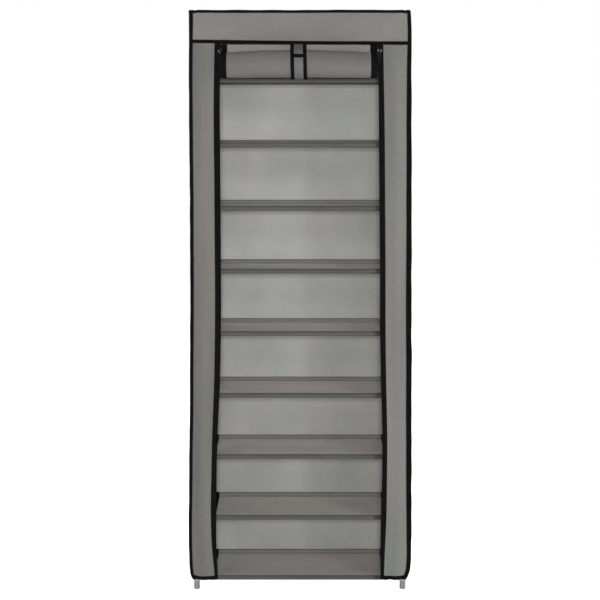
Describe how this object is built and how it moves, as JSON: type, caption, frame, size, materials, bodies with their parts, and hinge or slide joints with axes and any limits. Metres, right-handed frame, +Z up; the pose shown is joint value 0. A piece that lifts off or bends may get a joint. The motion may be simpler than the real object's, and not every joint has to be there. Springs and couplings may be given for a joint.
{
  "type": "shoe organizer",
  "caption": "Tall free-standing shoe organizer: steel tube frame, cloth shelves and a grey zipped cloth cover with black edging, its door rolled up under the valance and strapped.",
  "frame": {"origin": "on the floor, at the centre of the footprint that the frame, its cover and the rolled door take up", "axes": "+Z up, +X to the right of someone facing the open front, -Y out of the front"},
  "size_m": [0.6006, 0.3679, 1.6],
  "materials": {
    "tube_paint": "satin",
    "joint_plastic": "satin",
    "foot_plastic": "satin",
    "cover_cloth": "matte",
    "shelf_cloth": "matte",
    "strap_cloth": "matte",
    "binding_cloth": "matte",
    "zip_tape": "matte",
    "zip_metal": "polished"
  },
  "bodies": {
    "cabinet": {"feet": "foot_plastic", "front_left_post": "tube_paint", "front_right_post": "tube_paint", "rear_left_post": "tube_paint", "rear_right_post": "tube_paint", "corner_joints_01": "joint_plastic", "rails_01": "tube_paint", "shelf_01": "shelf_cloth", "corner_joints_02": "joint_plastic", "rails_02": "tube_paint", "shelf_02": "shelf_cloth", "corner_joints_03": "joint_plastic", "rails_03": "tube_paint", "shelf_03": "shelf_cloth", "corner_joints_04": "joint_plastic", "rails_04": "tube_paint", "shelf_04": "shelf_cloth", "corner_joints_05": "joint_plastic", "rails_05": "tube_paint", "shelf_05": "shelf_cloth", "corner_joints_06": "joint_plastic", "rails_06": "tube_paint", "shelf_06": "shelf_cloth", "corner_joints_07": "joint_plastic", "rails_07": "tube_paint", "shelf_07": "shelf_cloth", "corner_joints_08": "joint_plastic", "rails_08": "tube_paint", "shelf_08": "shelf_cloth", "corner_joints_09": "joint_plastic", "rails_09": "tube_paint", "shelf_09": "shelf_cloth", "corner_joints_10": "joint_plastic", "rails_10": "tube_paint", "shelf_10": "shelf_cloth", "cover_back": "cover_cloth", "cover_right_side": "cover_cloth", "cover_left_side": "cover_cloth", "cover_top": "cover_cloth", "valance": "cover_cloth", "right_front_flap": "cover_cloth", "left_front_flap": "cover_cloth", "front_edge_binding": "binding_cloth", "rear_edge_binding": "binding_cloth", "valance_binding": "binding_cloth", "hem_binding": "binding_cloth", "right_zip_tape": "zip_tape", "left_zip_tape": "zip_tape"},
    "door": {"door_roll": "cover_cloth", "right_door_zip_tape": "zip_tape", "left_door_zip_tape": "zip_tape", "strap_back": "strap_cloth", "strap_upper": "strap_cloth"},
    "strap_end": {"strap_front": "strap_cloth"},
    "right_slider": {"right_zip_slider": "zip_metal"},
    "left_slider": {"left_zip_slider": "zip_metal"},
    "right_pull": {"right_zip_pull": "zip_metal"},
    "left_pull": {"left_zip_pull": "zip_metal"}
  },
  "joints": [
    {"name": "door_swing", "type": "hinge", "parent": "cabinet", "child": "door", "pos_m": [0, -0.11095, 1.5077], "axis": [-1, 0, 0], "range_deg": [0, 75]},
    {"name": "strap_open", "type": "hinge", "parent": "door", "child": "strap_end", "pos_m": [0, -0.14605, 1.4152], "axis": [1, 0, 0], "range_deg": [0, 95]},
    {"name": "right_zip_slide", "type": "slide", "parent": "cabinet", "child": "right_slider", "axis": [0.009, 0, -1], "range_m": [0, 1.43]},
    {"name": "right_pull_swing", "type": "hinge", "parent": "right_slider", "child": "right_pull", "pos_m": [0.215, -0.1149, 1.4897], "axis": [-1, 0, 0], "range_deg": [0, 120]},
    {"name": "left_zip_slide", "type": "slide", "parent": "cabinet", "child": "left_slider", "axis": [-0.009, 0, -1], "range_m": [0, 1.43]},
    {"name": "left_pull_swing", "type": "hinge", "parent": "left_slider", "child": "left_pull", "pos_m": [-0.215, -0.1149, 1.4897], "axis": [-1, 0, 0], "range_deg": [0, 120]}
  ]
}
